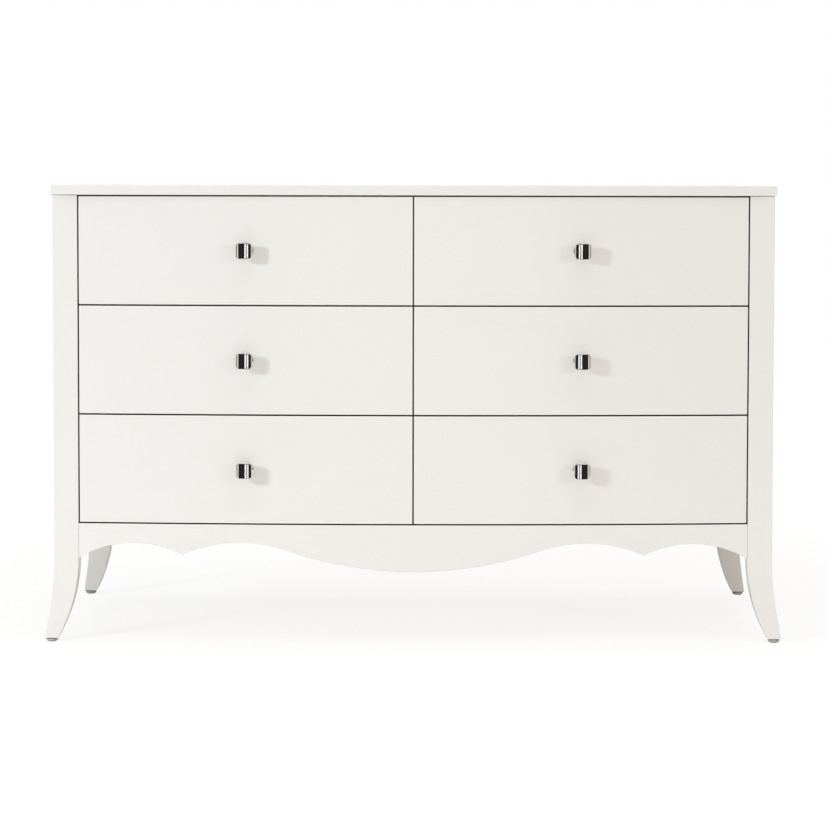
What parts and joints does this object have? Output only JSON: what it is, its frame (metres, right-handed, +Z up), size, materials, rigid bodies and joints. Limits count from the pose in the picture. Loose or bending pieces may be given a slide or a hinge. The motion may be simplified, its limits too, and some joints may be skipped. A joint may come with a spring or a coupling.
{
  "type": "dresser with drawers",
  "caption": "White lacquered double dresser with a bowed front, sabre legs, a scalloped apron and square chrome knobs; the drawers run on ball-bearing slides.",
  "frame": {"origin": "middle of the whole object's footprint, on the floor under the feet", "axes": "+X to the right as seen from the front, +Z up, the drawers open towards -Y"},
  "size_m": [1.475, 0.5486, 0.915],
  "materials": {
    "white_lacquer": "satin lacquer",
    "case_board": "plain sanded board",
    "back_board": "painted board",
    "raw_wood": "unfinished",
    "drawer_wood": "clear lacquer",
    "chrome": "polished",
    "zinc_steel": "zinc plated",
    "bearing_steel": "bright steel",
    "glide": "smooth"
  },
  "bodies": {
    "case": {"top_panel": "white_lacquer", "front_leg_left": "white_lacquer", "front_leg_right": "white_lacquer", "rear_leg_left": "white_lacquer", "rear_leg_right": "white_lacquer", "front_apron": "white_lacquer", "side_panel_left": "white_lacquer", "side_panel_right": "white_lacquer", "center_partition": "white_lacquer", "case_floor": "case_board", "top_rails": "case_board", "rear_bottom_rail": "case_board", "back_panel": "back_board", "corner_blocks": "raw_wood", "slide_fillers": "raw_wood", "cabinet_slides": "zinc_steel", "case_screws": "zinc_steel", "foot_glides": "glide"},
    "drawer_upper_left": {"drawer_front_upper_left": "white_lacquer", "drawer_box_upper_left": "drawer_wood", "drawer_board_upper_left": "drawer_wood", "drawer_knob_upper_left": "chrome", "drawer_screws_upper_left": "zinc_steel", "drawer_slides_upper_left": "zinc_steel"},
    "cage_upper_left": {"ball_cages_upper_left": "bearing_steel"},
    "drawer_upper_right": {"drawer_front_upper_right": "white_lacquer", "drawer_box_upper_right": "drawer_wood", "drawer_board_upper_right": "drawer_wood", "drawer_knob_upper_right": "chrome", "drawer_screws_upper_right": "zinc_steel", "drawer_slides_upper_right": "zinc_steel"},
    "cage_upper_right": {"ball_cages_upper_right": "bearing_steel"},
    "drawer_middle_left": {"drawer_front_middle_left": "white_lacquer", "drawer_box_middle_left": "drawer_wood", "drawer_board_middle_left": "drawer_wood", "drawer_knob_middle_left": "chrome", "drawer_screws_middle_left": "zinc_steel", "drawer_slides_middle_left": "zinc_steel"},
    "cage_middle_left": {"ball_cages_middle_left": "bearing_steel"},
    "drawer_middle_right": {"drawer_front_middle_right": "white_lacquer", "drawer_box_middle_right": "drawer_wood", "drawer_board_middle_right": "drawer_wood", "drawer_knob_middle_right": "chrome", "drawer_screws_middle_right": "zinc_steel", "drawer_slides_middle_right": "zinc_steel"},
    "cage_middle_right": {"ball_cages_middle_right": "bearing_steel"},
    "drawer_lower_left": {"drawer_front_lower_left": "white_lacquer", "drawer_box_lower_left": "drawer_wood", "drawer_board_lower_left": "drawer_wood", "drawer_knob_lower_left": "chrome", "drawer_screws_lower_left": "zinc_steel", "drawer_slides_lower_left": "zinc_steel"},
    "cage_lower_left": {"ball_cages_lower_left": "bearing_steel"},
    "drawer_lower_right": {"drawer_front_lower_right": "white_lacquer", "drawer_box_lower_right": "drawer_wood", "drawer_board_lower_right": "drawer_wood", "drawer_knob_lower_right": "chrome", "drawer_screws_lower_right": "zinc_steel", "drawer_slides_lower_right": "zinc_steel"},
    "cage_lower_right": {"ball_cages_lower_right": "bearing_steel"}
  },
  "joints": [
    {"name": "upper_left_drawer_slide", "type": "slide", "parent": "case", "child": "drawer_upper_left", "axis": [0, -1, 0], "range_m": [0, 0.3]},
    {"name": "upper_left_cage_slide", "type": "slide", "parent": "case", "child": "cage_upper_left", "axis": [0, -1, 0], "range_m": [0, 0.15]},
    {"name": "upper_right_drawer_slide", "type": "slide", "parent": "case", "child": "drawer_upper_right", "axis": [0, -1, 0], "range_m": [0, 0.3]},
    {"name": "upper_right_cage_slide", "type": "slide", "parent": "case", "child": "cage_upper_right", "axis": [0, -1, 0], "range_m": [0, 0.15]},
    {"name": "middle_left_drawer_slide", "type": "slide", "parent": "case", "child": "drawer_middle_left", "axis": [0, -1, 0], "range_m": [0, 0.3]},
    {"name": "middle_left_cage_slide", "type": "slide", "parent": "case", "child": "cage_middle_left", "axis": [0, -1, 0], "range_m": [0, 0.15]},
    {"name": "middle_right_drawer_slide", "type": "slide", "parent": "case", "child": "drawer_middle_right", "axis": [0, -1, 0], "range_m": [0, 0.3]},
    {"name": "middle_right_cage_slide", "type": "slide", "parent": "case", "child": "cage_middle_right", "axis": [0, -1, 0], "range_m": [0, 0.15]},
    {"name": "lower_left_drawer_slide", "type": "slide", "parent": "case", "child": "drawer_lower_left", "axis": [0, -1, 0], "range_m": [0, 0.3]},
    {"name": "lower_left_cage_slide", "type": "slide", "parent": "case", "child": "cage_lower_left", "axis": [0, -1, 0], "range_m": [0, 0.15]},
    {"name": "lower_right_drawer_slide", "type": "slide", "parent": "case", "child": "drawer_lower_right", "axis": [0, -1, 0], "range_m": [0, 0.3]},
    {"name": "lower_right_cage_slide", "type": "slide", "parent": "case", "child": "cage_lower_right", "axis": [0, -1, 0], "range_m": [0, 0.15]}
  ],
  "couplings": [
    {"joint": "upper_left_cage_slide", "follows": "upper_left_drawer_slide", "ratio": 0.5},
    {"joint": "upper_right_cage_slide", "follows": "upper_right_drawer_slide", "ratio": 0.5},
    {"joint": "middle_left_cage_slide", "follows": "middle_left_drawer_slide", "ratio": 0.5},
    {"joint": "middle_right_cage_slide", "follows": "middle_right_drawer_slide", "ratio": 0.5},
    {"joint": "lower_left_cage_slide", "follows": "lower_left_drawer_slide", "ratio": 0.5},
    {"joint": "lower_right_cage_slide", "follows": "lower_right_drawer_slide", "ratio": 0.5}
  ]
}
